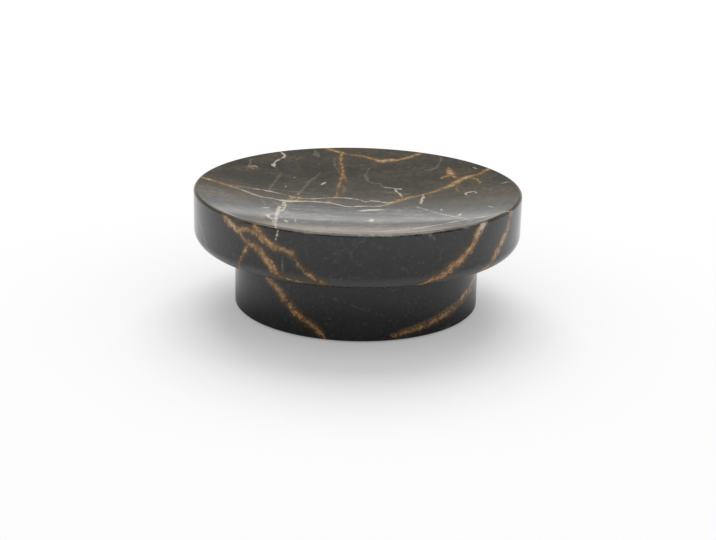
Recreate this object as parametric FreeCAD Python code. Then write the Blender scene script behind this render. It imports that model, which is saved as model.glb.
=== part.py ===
"""Round stone soap dish: a shallow bowl bonded onto a drum pedestal that stands on four bumpers.

The frame has +Z up along the turning axis, with its origin on the table, under the middle of the
dish. Every stone piece is a turned shape, so each one is a half profile swept about Z.
"""

import FreeCAD
import Part

import math
import os

# Driving dimensions, in millimetres

# Dish: the upper stone
DISH_DIAMETER = 120.0
DISH_HEIGHT = 20.0  # underside to rim
BOWL_DEPTH = 4.5  # rim down to the lowest point of the bowl
RIM_ROUND = 1.0
UNDERSIDE_ROUND = 5.5

# Pedestal: the lower stone
PEDESTAL_DIAMETER = 90.0
PEDESTAL_HEIGHT = 23.3
PEDESTAL_CHAMFER = 0.6

# Joint between the two stones
SPIGOT_DIAMETER = 50.0
SPIGOT_HEIGHT = 3.0
RESIN_THICKNESS = 0.2
RESIN_SETBACK = 0.4  # the joint is raked back this far from the pedestal's face

# Bumpers, let into the pedestal's underside
BUMPER_DIAMETER = 12.0
BUMPER_THICKNESS = 1.5
BUMPER_EDGE_ROUND = 0.4
BUMPER_SEAT_DEPTH = 1.0
BUMPER_SEAT_CLEARANCE = 0.2  # all round the bumper
BUMPER_EDGE_MARGIN = 5.0  # stone left between a bumper's seat and the pedestal's face
BUMPER_CORNERS = ("back_right", "back_left", "front_left", "front_right")  # in turn, round the axis
BUMPER_FIRST_BEARING_DEG = 45.0  # from +X

# Radii and levels that follow from the dimensions above

DISH_RADIUS = DISH_DIAMETER / 2
PEDESTAL_RADIUS = PEDESTAL_DIAMETER / 2
SPIGOT_RADIUS = SPIGOT_DIAMETER / 2
SOCKET_RADIUS = SPIGOT_RADIUS + RESIN_THICKNESS
BUMPER_RADIUS = BUMPER_DIAMETER / 2
BUMPER_SEAT_RADIUS = BUMPER_RADIUS + BUMPER_SEAT_CLEARANCE
BUMPER_CIRCLE_RADIUS = PEDESTAL_RADIUS - BUMPER_EDGE_MARGIN - BUMPER_SEAT_RADIUS

PEDESTAL_BOTTOM = BUMPER_THICKNESS - BUMPER_SEAT_DEPTH
PEDESTAL_TOP = PEDESTAL_BOTTOM + PEDESTAL_HEIGHT
SPIGOT_TOP = PEDESTAL_TOP + SPIGOT_HEIGHT
DISH_UNDERSIDE = PEDESTAL_TOP + RESIN_THICKNESS
SOCKET_CEILING = SPIGOT_TOP + RESIN_THICKNESS
RIM_TOP = DISH_UNDERSIDE + DISH_HEIGHT
BOWL_FLOOR = RIM_TOP - BOWL_DEPTH


def at(radius, height):
    """A point of a half profile: its distance from the axis and its height."""
    return FreeCAD.Vector(radius, 0, height)


def straight_runs(*points):
    """Straight edges that join the points in turn."""
    return [Part.LineSegment(a, b).toShape() for a, b in zip(points, points[1:])]


def arc_about(centre, radius, from_degrees, to_degrees):
    """An arc in the profile's plane, with its angles counted up from the outward direction."""

    def on_circle(degrees):
        angle = math.radians(degrees)
        return centre + FreeCAD.Vector(radius * math.cos(angle), 0, radius * math.sin(angle))

    middle = (from_degrees + to_degrees) / 2
    return Part.Arc(on_circle(from_degrees), on_circle(middle), on_circle(to_degrees)).toShape()


def turned(edges):
    """The solid that a closed half profile sweeps about the Z axis."""
    profile = Part.Face(Part.Wire(edges))
    return profile.revolve(FreeCAD.Vector(0, 0, 0), FreeCAD.Vector(0, 0, 1), 360)


def bowl_radius():
    """Radius of the sphere that touches the bowl's floor and runs smoothly into the rounded rim."""
    run = DISH_RADIUS - RIM_ROUND
    rise = BOWL_DEPTH - RIM_ROUND
    return (run**2 + rise**2 - RIM_ROUND**2) / (2 * BOWL_DEPTH)


def make_dish():
    """Upper stone: spherical bowl, rounded rim, plain wall, rounded lower edge and a socket below."""
    sphere = bowl_radius()
    sphere_centre = at(0, BOWL_FLOOR + sphere)
    rim_centre = at(DISH_RADIUS - RIM_ROUND, RIM_TOP - RIM_ROUND)
    towards_sphere = sphere_centre - rim_centre
    rim_start = math.degrees(math.atan2(towards_sphere.z, towards_sphere.x))
    lower_centre = at(DISH_RADIUS - UNDERSIDE_ROUND, DISH_UNDERSIDE + UNDERSIDE_ROUND)

    bowl = arc_about(sphere_centre, sphere, -90, rim_start - 180)
    rim = arc_about(rim_centre, RIM_ROUND, rim_start, 0)
    wall = straight_runs(at(DISH_RADIUS, rim_centre.z), at(DISH_RADIUS, lower_centre.z))
    lower_edge = arc_about(lower_centre, UNDERSIDE_ROUND, 0, -90)
    underside_and_socket = straight_runs(
        at(lower_centre.x, DISH_UNDERSIDE),
        at(SOCKET_RADIUS, DISH_UNDERSIDE),
        at(SOCKET_RADIUS, SOCKET_CEILING),
        at(0, SOCKET_CEILING),
        at(0, BOWL_FLOOR),
    )
    return turned([bowl, rim, *wall, lower_edge, *underside_and_socket])


def bumper_centres():
    """Where each bumper stands on the table, by its corner's name."""
    step = math.tau / len(BUMPER_CORNERS)
    centres = {}
    for index, corner in enumerate(BUMPER_CORNERS):
        bearing = math.radians(BUMPER_FIRST_BEARING_DEG) + index * step
        outward = FreeCAD.Vector(math.cos(bearing), math.sin(bearing), 0)
        centres[corner] = outward * BUMPER_CIRCLE_RADIUS
    return centres


def make_pedestal():
    """Lower stone: a drum with a spigot on top, a chamfered foot and a blind seat for each bumper."""
    drum = turned(
        straight_runs(
            at(0, PEDESTAL_BOTTOM),
            at(PEDESTAL_RADIUS - PEDESTAL_CHAMFER, PEDESTAL_BOTTOM),
            at(PEDESTAL_RADIUS, PEDESTAL_BOTTOM + PEDESTAL_CHAMFER),
            at(PEDESTAL_RADIUS, PEDESTAL_TOP),
            at(SPIGOT_RADIUS, PEDESTAL_TOP),
            at(SPIGOT_RADIUS, SPIGOT_TOP),
            at(0, SPIGOT_TOP),
            at(0, PEDESTAL_BOTTOM),
        )
    )
    for centre in bumper_centres().values():
        # The cutter starts on the table, so it runs clear through the pedestal's lower face.
        seat = Part.makeCylinder(BUMPER_SEAT_RADIUS, BUMPER_THICKNESS, centre)
        drum = drum.cut(seat)
    return drum


def make_resin_bed():
    """Cured resin, one even layer over the pedestal's top, up the spigot's side and across it."""
    resin_radius = PEDESTAL_RADIUS - RESIN_SETBACK
    return turned(
        straight_runs(
            at(0, SPIGOT_TOP),
            at(SPIGOT_RADIUS, SPIGOT_TOP),
            at(SPIGOT_RADIUS, PEDESTAL_TOP),
            at(resin_radius, PEDESTAL_TOP),
            at(resin_radius, DISH_UNDERSIDE),
            at(SOCKET_RADIUS, DISH_UNDERSIDE),
            at(SOCKET_RADIUS, SOCKET_CEILING),
            at(0, SOCKET_CEILING),
            at(0, SPIGOT_TOP),
        )
    )


def make_bumper():
    """One bumper at the origin: a low disc whose lower edge is rounded."""
    edge_centre = at(BUMPER_RADIUS - BUMPER_EDGE_ROUND, BUMPER_EDGE_ROUND)
    sole = straight_runs(at(0, 0), at(edge_centre.x, 0))
    edge = arc_about(edge_centre, BUMPER_EDGE_ROUND, -90, 0)
    side_and_top = straight_runs(
        at(BUMPER_RADIUS, BUMPER_EDGE_ROUND),
        at(BUMPER_RADIUS, BUMPER_THICKNESS),
        at(0, BUMPER_THICKNESS),
        at(0, 0),
    )
    return turned([*sole, edge, *side_and_top])


def main():
    nodes = {
        "dish": make_dish(),
        "pedestal": make_pedestal(),
        "resin_bed": make_resin_bed(),
    }
    for corner, centre in bumper_centres().items():
        bumper = make_bumper()
        bumper.translate(centre)
        nodes["bumper_" + corner] = bumper

    os.makedirs("parts", exist_ok=True)
    for name, shape in nodes.items():
        shape.exportStep(os.path.join("parts", name + ".step"))
        print(f"{name}: {len(shape.Solids)} solid, {shape.Volume / 1000:.2f} cm3, valid {shape.isValid()}")


main()
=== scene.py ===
# %% [markdown]
# # A soap dish turned from black and gold marble
# The object is a shallow stone bowl on a drum pedestal. Its shapes are simple, so nearly all of its look
# is in the stone: a charcoal ground, gold and cream veins, and a polish that mirrors the table and the
# room. We start from the packed model, which fixes every size, and dress it piece by piece.

# %% Load the frame
import math

import bpy
from mathutils import Matrix, Vector


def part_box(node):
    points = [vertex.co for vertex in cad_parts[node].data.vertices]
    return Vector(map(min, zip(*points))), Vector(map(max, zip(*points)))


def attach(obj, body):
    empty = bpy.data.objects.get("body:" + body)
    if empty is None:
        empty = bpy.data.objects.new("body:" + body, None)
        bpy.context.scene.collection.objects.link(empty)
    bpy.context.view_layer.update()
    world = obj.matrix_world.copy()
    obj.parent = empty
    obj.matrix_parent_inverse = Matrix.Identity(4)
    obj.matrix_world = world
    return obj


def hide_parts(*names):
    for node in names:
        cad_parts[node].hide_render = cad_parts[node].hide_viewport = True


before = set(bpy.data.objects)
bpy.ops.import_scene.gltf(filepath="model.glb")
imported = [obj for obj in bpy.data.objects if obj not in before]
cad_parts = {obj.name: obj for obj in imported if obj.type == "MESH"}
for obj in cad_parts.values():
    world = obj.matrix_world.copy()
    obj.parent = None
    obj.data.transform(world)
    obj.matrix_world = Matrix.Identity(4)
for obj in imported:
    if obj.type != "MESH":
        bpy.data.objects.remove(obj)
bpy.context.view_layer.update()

print("nodes in the frame:", sorted(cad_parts))

# %% [markdown]
# ## Sizes
# The frame knows each piece's box, so radii and levels are read from it. Only the sizes that a box can't
# show, such as the bowl's depth and the roundings, are written here. Blender works in metres, but a dish
# is easier to think about in millimetres, so one value turns millimetres into metres.

# %% Read the sizes
MM = 0.001


def levels(node):
    """Radius, lowest level and highest level of a turned piece, in millimetres."""
    low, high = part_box(node)
    return (high[0] - low[0]) / 2 / MM, low[2] / MM, high[2] / MM


DISH_RADIUS, DISH_UNDERSIDE, RIM_TOP = levels("dish")
PEDESTAL_RADIUS, PEDESTAL_BOTTOM, SPIGOT_TOP = levels("pedestal")
BUMPER_RADIUS, BUMPER_SOLE, BUMPER_TOP = levels("bumper_front_left")
_, PEDESTAL_TOP, SOCKET_CEILING = levels("resin_bed")

BOWL_DEPTH = 4.5
RIM_ROUND = 1.0
UNDERSIDE_ROUND = 5.5
SOCKET_RADIUS = 25.2
SPIGOT_RADIUS = 25.0
PEDESTAL_CHAMFER = 0.6
BUMPER_EDGE_ROUND = 0.4
SEAT_CLEARANCE = 0.2
print(f"dish {2 * DISH_RADIUS:.1f} mm across, with its rim {RIM_TOP:.1f} mm above the table")
print(f"pedestal {2 * PEDESTAL_RADIUS:.1f} mm across")

# %% [markdown]
# ## A lathe
# Both stones are turned, so the natural tool is Spin. A profile could be drawn by hand, but arcs worked
# out from their radius stay true. The lathe starts from a plane merged to one vertex, extrudes it from
# point to point along the half profile, and spins that line once round the axis. Where the profile starts
# and ends on the axis, merging doubles closes the poles.

# %% Make the lathe
LATHE_STEPS = 240
WELD_DISTANCE = 0.002
CREASE_ANGLE = math.radians(30)


def arc(centre, radius, from_degrees, to_degrees, count):
    """Points on an arc of a profile, with angles counted up from the outward direction."""
    turns = [math.radians(from_degrees + (to_degrees - from_degrees) * i / count) for i in range(count + 1)]
    return [(centre[0] + radius * math.cos(t), centre[1] + radius * math.sin(t)) for t in turns]


def turn_on_the_lathe(name, profile, steps=LATHE_STEPS):
    """Spins a half profile of (radius, level) points, in millimetres, into a closed piece."""
    bpy.ops.object.select_all(action="DESELECT")
    bpy.ops.mesh.primitive_plane_add(size=MM, location=(0, 0, 0))
    piece = bpy.context.object
    piece.name = piece.data.name = name
    bpy.ops.object.mode_set(mode="EDIT")
    bpy.ops.mesh.select_all(action="SELECT")
    bpy.ops.mesh.merge(type="CENTER")
    points = [Vector((radius, 0, level)) * MM for radius, level in profile]
    bpy.ops.transform.translate(value=points[0])
    for here, there in zip(points, points[1:]):
        bpy.ops.mesh.extrude_region_move(TRANSFORM_OT_translate={"value": there - here})
    bpy.ops.mesh.select_all(action="SELECT")
    bpy.ops.mesh.spin(steps=steps, angle=math.tau, center=(0, 0, 0), axis=(0, 0, 1))
    bpy.ops.mesh.select_all(action="SELECT")
    bpy.ops.mesh.remove_doubles(threshold=WELD_DISTANCE * MM)
    bpy.ops.mesh.normals_make_consistent(inside=False)
    bpy.ops.object.mode_set(mode="OBJECT")
    bpy.ops.object.shade_smooth_by_angle(angle=CREASE_ANGLE)
    print(f"{name}: {len(piece.data.polygons)} faces")
    return piece


# %% [markdown]
# ## The dish
# The upper stone is a thick plate with a spherical bowl. The bowl runs into a small rounding at the rim
# without a crease, which is why its radius is worked out from the rim: the two arcs share a tangent. The
# lower edge has a larger rounding that catches the table's light, and the underside holds the socket for
# the pedestal.

# %% Turn the dish
BOWL_STEPS, ROUND_STEPS = 40, 14

rim_centre = (DISH_RADIUS - RIM_ROUND, RIM_TOP - RIM_ROUND)
lower_centre = (DISH_RADIUS - UNDERSIDE_ROUND, DISH_UNDERSIDE + UNDERSIDE_ROUND)
BOWL_RADIUS = (rim_centre[0] ** 2 + (BOWL_DEPTH - RIM_ROUND) ** 2 - RIM_ROUND**2) / (2 * BOWL_DEPTH)
bowl_centre = (0.0, RIM_TOP - BOWL_DEPTH + BOWL_RADIUS)
rim_start = math.degrees(math.atan2(bowl_centre[1] - rim_centre[1], -rim_centre[0]))

dish_profile = [
    *arc(bowl_centre, BOWL_RADIUS, -90, rim_start - 180, BOWL_STEPS),
    *arc(rim_centre, RIM_ROUND, rim_start, 0, ROUND_STEPS)[1:],
    *arc(lower_centre, UNDERSIDE_ROUND, 0, -90, ROUND_STEPS),
    (SOCKET_RADIUS, DISH_UNDERSIDE),
    (SOCKET_RADIUS, SOCKET_CEILING),
    (0.0, SOCKET_CEILING),
]
dish_stone = turn_on_the_lathe("dish_stone", dish_profile)
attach(dish_stone, "root")
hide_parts("dish")

# %% [markdown]
# ## The pedestal
# The lower stone is a plain drum with a crisp foot and a low spigot that centres it in the dish. It comes
# off the lathe whole.

# %% Turn the pedestal
pedestal_profile = [
    (0.0, PEDESTAL_BOTTOM),
    (PEDESTAL_RADIUS - PEDESTAL_CHAMFER, PEDESTAL_BOTTOM),
    (PEDESTAL_RADIUS, PEDESTAL_BOTTOM + PEDESTAL_CHAMFER),
    (PEDESTAL_RADIUS, PEDESTAL_TOP),
    (SPIGOT_RADIUS, PEDESTAL_TOP),
    (SPIGOT_RADIUS, SPIGOT_TOP),
    (0.0, SPIGOT_TOP),
]
pedestal_stone = turn_on_the_lathe("pedestal_stone", pedestal_profile)
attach(pedestal_stone, "root")
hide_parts("pedestal")

# %% [markdown]
# The four bumpers sit in blind seats. A workshop drills them, so here a cylinder stands in for the drill
# and a Boolean takes it away from the drum. The drill reaches from under the table's level up to the
# seat's ceiling.

# %% Drill the bumpers' seats
CORNERS = ("front_left", "front_right", "back_right", "back_left")
SEAT_STEPS = 64


def centre_of(node):
    """Middle of a node's box, in millimetres."""
    low, high = (Vector(corner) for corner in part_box(node))
    return (low + high) / 2 / MM


bumper_centres = {corner: centre_of("bumper_" + corner) for corner in CORNERS}
for corner, centre in bumper_centres.items():
    bpy.ops.object.select_all(action="DESELECT")
    bpy.ops.mesh.primitive_cylinder_add(
        vertices=SEAT_STEPS,
        radius=(BUMPER_RADIUS + SEAT_CLEARANCE) * MM,
        depth=2 * BUMPER_TOP * MM,
        location=(centre.x * MM, centre.y * MM, 0),
    )
    drill = bpy.context.object
    cut = pedestal_stone.modifiers.new("seat_" + corner, "BOOLEAN")
    cut.operation = "DIFFERENCE"
    cut.object = drill
    bpy.context.view_layer.objects.active = pedestal_stone
    bpy.ops.object.modifier_apply(modifier=cut.name)
    bpy.data.objects.remove(drill)

bpy.ops.object.select_all(action="DESELECT")
pedestal_stone.select_set(True)
bpy.ops.object.shade_smooth_by_angle(angle=CREASE_ANGLE)
print(f"pedestal_stone with its seats: {len(pedestal_stone.data.polygons)} faces")

# %% [markdown]
# ## The bumpers
# Soft bumpers keep polished stone from scraping a basin. Each is a moulded silicone disc with a rounded
# lower edge. One is turned at the origin and copied to the four seats, each copy with its own mesh.

# %% Mould the bumpers
BUMPER_ROUND_STEPS = 6

edge_centre = (BUMPER_RADIUS - BUMPER_EDGE_ROUND, BUMPER_SOLE + BUMPER_EDGE_ROUND)
bumper_profile = [
    (0.0, BUMPER_SOLE),
    *arc(edge_centre, BUMPER_EDGE_ROUND, -90, 0, BUMPER_ROUND_STEPS),
    (BUMPER_RADIUS, BUMPER_TOP),
    (0.0, BUMPER_TOP),
]
pattern_bumper = turn_on_the_lathe("pattern_bumper", bumper_profile, SEAT_STEPS)
silicone_bumpers = []
for corner, centre in bumper_centres.items():
    bpy.ops.object.select_all(action="DESELECT")
    pattern_bumper.select_set(True)
    bpy.context.view_layer.objects.active = pattern_bumper
    bpy.ops.object.duplicate()
    bumper = bpy.context.object
    bumper.name = bumper.data.name = "silicone_bumper_" + corner
    bpy.ops.object.mode_set(mode="EDIT")
    bpy.ops.mesh.select_all(action="SELECT")
    bpy.ops.transform.translate(value=(centre.x * MM, centre.y * MM, 0))
    bpy.ops.object.mode_set(mode="OBJECT")
    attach(bumper, "root")
    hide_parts("bumper_" + corner)
    silicone_bumpers.append(bumper)
bpy.data.objects.remove(pattern_bumper)
print("bumpers:", [bumper.name for bumper in silicone_bumpers])

# %% [markdown]
# ## The camera
# The photograph was taken from in front and a little above, with the camera tilted by about a degree.
# These values come from fitting a camera to the outline of the dish. The camera stands here, before the
# stone, because the veins are placed by its lines of sight.

# %% Place the camera
CAMERA_ELEVATION = math.radians(18.52)
CAMERA_ROLL = math.radians(1.318)
CAMERA_DISTANCE = 566.6
CAMERA_LENS = 76.37
SENSOR_WIDTH = 36.0
AIM = Vector((0.67, 0.0, 11.83))


def camera_stand(elevation, roll, distance, aim):
    """Where a camera stands and how it is turned, in millimetres."""
    backward = Vector((0, -math.cos(elevation), math.sin(elevation)))
    tilt = Matrix.Rotation(math.pi / 2 - elevation, 4, "X") @ Matrix.Rotation(roll, 4, "Z")
    return Matrix.Translation(aim + backward * distance) @ tilt


stand = camera_stand(CAMERA_ELEVATION, CAMERA_ROLL, CAMERA_DISTANCE, AIM)
bpy.ops.object.camera_add()
camera = bpy.context.object
camera.name = "camera"
camera.data.sensor_width = SENSOR_WIDTH
camera.data.lens = CAMERA_LENS
camera.matrix_world = Matrix.Translation(stand.translation * MM) @ stand.to_3x3().to_4x4()
bpy.context.scene.camera = camera
bpy.context.scene.view_settings.view_transform = "Standard"
print("camera at", [round(v, 1) for v in stand.translation], "mm")

# %% [markdown]
# ## A bench for nodes
# A vein needs the same few nodes many times, so a small helper adds a node, sets its inputs and hands
# back the socket that the next node reads. An input may be a socket or a plain number.

# %% Make the bench
MIX_FACTOR = 0
MIX_SOCKETS = {"RGBA": (6, 7, 2), "FLOAT": (2, 3, 0)}  # the inputs A and B, and the result


class Bench:
    """Adds nodes to one tree and joins them."""

    def __init__(self, tree):
        self.tree = tree

    def feed(self, socket, value):
        if isinstance(value, bpy.types.NodeSocket):
            self.tree.links.new(value, socket)
        else:
            socket.default_value = value

    def node(self, kind, inputs=None, **settings):
        made = self.tree.nodes.new(kind)
        for key, value in settings.items():
            setattr(made, key, value)
        for key, value in (inputs or {}).items():
            self.feed(made.inputs[key], value)
        return made

    def math(self, operation, *values):
        made = self.node("ShaderNodeMath", dict(enumerate(values)), operation=operation)
        return made.outputs["Value"]

    def vector(self, operation, *values, result="Vector"):
        made = self.node("ShaderNodeVectorMath", dict(enumerate(values)), operation=operation)
        return made.outputs[result]

    def scaled(self, vector, factor):
        made = self.node("ShaderNodeVectorMath", {"Vector": vector, "Scale": factor}, operation="SCALE")
        return made.outputs["Vector"]

    def axes(self, vector):
        return self.node("ShaderNodeSeparateXYZ", {"Vector": vector}).outputs

    def place(self, x, y, z):
        return self.node("ShaderNodeCombineXYZ", {"X": x, "Y": y, "Z": z}).outputs["Vector"]

    def fade(self, value, start, end, low=0.0, high=1.0):
        """A smooth step from low to high as the value goes from start to end."""
        ranges = {"Value": value, "From Min": start, "From Max": end, "To Min": low, "To Max": high}
        made = self.node("ShaderNodeMapRange", ranges, interpolation_type="SMOOTHSTEP", clamp=False)
        return made.outputs["Result"]

    def held(self, value):
        """A value kept between 0 and 1."""
        return self.node("ShaderNodeClamp", {"Value": value}).outputs["Result"]

    def noise(self, vector, size, detail=2.0, roughness=0.5, distortion=0.0, result="Fac"):
        """Noise whose lumps are about the given size, in the vector's own units."""
        inputs = {
            "Vector": vector,
            "Scale": 1.0 / size,
            "Detail": detail,
            "Roughness": roughness,
            "Distortion": distortion,
        }
        return self.node("ShaderNodeTexNoise", inputs).outputs[result]

    def mix(self, kind, factor, first, second):
        a, b, result = MIX_SOCKETS[kind]
        made = self.node("ShaderNodeMix", {MIX_FACTOR: factor, a: first, b: second}, data_type=kind)
        return made.outputs[result]

    def blend(self, factor, first, second):
        """The first colour where the factor is 0 and the second where it is 1."""
        return self.mix("RGBA", factor, first, second)

    def pick(self, choice, low, high):
        """The low number where the choice is 0 and the high one where it is 1."""
        return self.mix("FLOAT", choice, low, high)


def new_material(name):
    """An empty material and a bench for its nodes."""
    material = bpy.data.materials.new(name)
    material.use_nodes = True
    material.node_tree.nodes.clear()
    return material, Bench(material.node_tree)


def dress(piece, material):
    """Gives a piece one material."""
    piece.data.materials.clear()
    piece.data.materials.append(material)


print("tools on the bench:", [tool for tool in vars(Bench) if not tool.startswith("_")])

# %% [markdown]
# ## Veins
# A vein in marble is a sheet of mineral, and what shows is the line where the sheet meets the surface.
# Noise can make such lines, but not these ones, so each vein is drawn one by one: a few points with a width
# at each, in millimetres. In the bowl a point is its place seen from above, with x to the right and y to
# the back. Gold veins are stained with iron. One long vein crosses the bowl, and one hangs along its
# back.

# %% Draw the bowl's gold veins
BOWL_VEINS = {}


def tell(surface, veins, tone):
    """Says how many veins of a tone were drawn on a surface."""
    print(f"{surface}: {len(veins[tone])} {tone} veins, {sum(map(len, veins[tone].values()))} points")


BOWL_VEINS["gold"] = {
    "long vein, left end": [
        (-62, 10.6, 1.6), (-57, 9.6, 1.8), (-52, 8.4, 1.8), (-48, 7.8, 2.2), (-44, 6.6, 1.3),
        (-40, 4.6, 1), (-37, 2.8, 0.6),
    ],
    "long vein, right end": [
        (9, 2.8, 0.9), (11, 4.4, 1.3), (13, 6.2, 2), (15.5, 8.2, 1.9), (18, 10, 2), (21, 11.6, 1.8),
        (24.5, 12.9, 1.8), (28, 15, 1.8), (31, 17, 2.1), (34, 19.2, 2.5), (37, 22, 3.4), (39, 24.5, 3.4),
        (41.5, 25.8, 3.2), (45, 26.8, 2.1), (48, 28.8, 2), (52, 31.5, 2.1),
    ],
    "back vein": [
        (-16, 57.5, 1.7), (-12, 56, 2.3), (-8, 54.2, 2.3), (-4, 52.6, 1.4), (0, 51.7, 1.3),
        (3, 50.6, 1.8), (6, 48.8, 2.5), (9, 47.3, 4.4), (12, 47.8, 3.7), (14.5, 47.5, 2.8),
        (17, 48.6, 2.3), (20, 49.9, 1.8), (23, 51.3, 2.2), (27, 53.5, 2.1),
    ],
    "upright branch": [
        (-11.2, 4.4, 0.9), (-9.9, 8, 0.9), (-8.7, 11, 1), (-8, 14, 0.9), (-7.8, 19, 0.5), (-7.3, 23, 0.6),
        (-6.7, 27, 1), (-6.5, 31, 1.4), (-6.2, 35, 1.2), (-6.5, 40, 1.3), (-6.8, 45, 1.3), (-7, 50, 1.1),
        (-6.6, 53.5, 1),
    ],
    "right strand of the branch": [
        (-4.6, 26.5, 0.5), (-4.9, 29.5, 1.2), (-5.4, 33, 0.8), (-6.2, 37, 0.4),
    ],
    "middle thin line, lower end": [
        (-21.2, 15, 0.4), (-22.2, 11.5, 0.9), (-23.4, 8, 1.3), (-24.4, 5, 1.7), (-25.6, 2, 1.6),
    ],
    "second strand of the junction": [
        (-21.2, 9, 0.4), (-21.6, 6.5, 0.8), (-22.2, 4, 1.4), (-23.5, 2.2, 1.5),
    ],
    "patch, upright": [
        (35, 37.4, 0.6), (35.2, 34.8, 2.2), (35.6, 32, 3.6), (36, 29.8, 2.4), (36.8, 26.5, 1),
    ],
    "patch, across": [
        (31.4, 27.6, 0.5), (33, 28.8, 1.4), (35.4, 29.8, 1.5), (38.4, 30.2, 0.9), (41, 30.6, 0.3),
    ],
    "patch, below the vein": [(38, 20.6, 0.5), (37, 16.5, 1), (37.4, 12.5, 0.4)],
    "patch, to the right": [(42.6, 24.4, 0.4), (44.4, 22.6, 1.3), (45.6, 19.4, 0.8), (45.1, 16.6, 0.4)],
    "stub above the long vein": [(15.4, 16.5, 0.4), (16.1, 13.5, 0.8), (16.5, 9.5, 0.9)],
    "under the left fleck": [(-43.8, 30, 0.4), (-41.6, 30.4, 1.4), (-39, 31, 0.6)],
}
tell("bowl", BOWL_VEINS, "gold")

# %% [markdown]
# Cream veins are clean calcite. The long vein turns cream in its middle, with a second line behind it,
# and a run leaves its junction for the front.

# %% Draw the bowl's cream veins
BOWL_VEINS["cream"] = {
    "long vein, middle": [
        (-44, 6.4, 0.6), (-40.5, 4.6, 1.1), (-37.5, 2.9, 1.2), (-34, 2, 1.1), (-31, 2.1, 1.1),
        (-28, 1.4, 2.4), (-25.5, 1.6, 3), (-22.8, 2.6, 2), (-20, 3.7, 1.3), (-17, 4.4, 1.3),
        (-14, 4.5, 1.2), (-11, 4.3, 1.3), (-8, 3.2, 1.3), (-5.5, 1.6, 1.2), (-3, 0.6, 1.1), (0, 1.5, 1.2),
        (3.5, 1.8, 0.8), (7, 1.9, 1), (10, 3.2, 1), (13, 6, 1.2),
    ],
    "second line behind it": [
        (-48, 8.6, 0.4), (-42, 9.4, 0.6), (-36, 10, 0.8), (-33.5, 10, 1.3), (-30, 9.4, 0.6),
        (-26, 8.2, 0.7), (-22, 7.1, 0.7), (-18, 7.3, 0.9), (-14.5, 8.7, 0.9), (-11, 10.1, 0.6),
        (-7, 10.8, 0.8), (-3.5, 10.8, 1.1), (-0.5, 10, 1.1), (1.5, 8.4, 1.1), (3, 7.2, 1.2),
        (5.2, 8.2, 1.1), (7.5, 7.6, 1.1), (10, 6.3, 1.1), (13, 6.2, 1),
    ],
    "run from the junction to the front": [
        (-26.3, 2, 1.6), (-26.6, -1, 1.4), (-26.8, -4, 1.2), (-28, -7.5, 1.3), (-28.2, -11, 1.6),
        (-28.1, -15, 1.5), (-28.3, -19, 1.4), (-28.3, -24, 1.2), (-27.9, -29, 1.2), (-27.8, -34, 0.9),
        (-27.3, -40, 0.7), (-26.4, -47, 0.7), (-25.6, -55, 0.6), (-25, -60, 0.5),
    ],
    "right strand of that run": [
        (-26.2, -2.5, 0.6), (-26, -6, 1.1), (-26.5, -10, 1), (-27.2, -13.5, 0.6),
    ],
    "left loop of that run": [
        (-28.6, -16.5, 0.5), (-30, -19, 1), (-31.1, -21.8, 1.4), (-30.6, -24.3, 1.4), (-29.4, -27, 1),
        (-28.8, -30, 0.7), (-28.4, -34, 0.4),
    ],
    "hook": [
        (-31.2, 49.6, 0.6), (-30, 48, 1.1), (-29.2, 46.2, 1.2), (-30.2, 43.8, 1.2), (-31.6, 41.6, 1.3),
        (-32.8, 39.2, 1.1), (-33, 37.2, 1.1), (-32.2, 34.8, 0.7),
    ],
    "left fleck, across": [(-43.4, 30.6, 0.4), (-41.6, 31.6, 1), (-39.8, 32.9, 1.2), (-38.6, 31.4, 0.6)],
    "worm, tail": [(13.9, 20.4, 0.5), (14.7, 18.4, 0.9), (15.5, 16.2, 0.7), (16.2, 13.6, 0.5)],
    "worm, end of the body": [
        (10.4, 22.8, 0.4), (12.2, 22.2, 0.8), (14, 20.9, 1), (15.6, 20.6, 1.5), (16.4, 19.6, 0.7),
    ],
    "pale diagonal, core": [
        (21.5, -1, 0.2), (26, -7, 0.4), (29.5, -12.4, 0.4), (33, -18, 0.5), (38, -24.6, 0.3),
    ],
    "front line on the right": [
        (30, -30.6, 0.2), (35, -27.6, 0.5), (39, -26, 0.7), (43, -26, 0.7), (47, -25.4, 0.5),
        (52, -24, 0.5), (57, -22, 0.5),
    ],
    "line along the front rim": [
        (2, -39.4, 0.3), (9.5, -37.7, 0.8), (18, -34.7, 1.1), (23.2, -32.5, 1.2), (28.4, -30, 1.2),
        (33.6, -28.1, 1), (38.2, -26.8, 0.6),
    ],
    "short line on the right": [
        (24.5, 13, 0.8), (24.1, 10, 1.1), (23.5, 7, 1.2), (23.2, 4.5, 1.1), (23.6, 2, 0.5),
    ],
}
tell("bowl", BOWL_VEINS, "cream")

# %% [markdown]
# Smoke is a thin film of calcite that the ground shows through: hairs, wisps and hazes.

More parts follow.
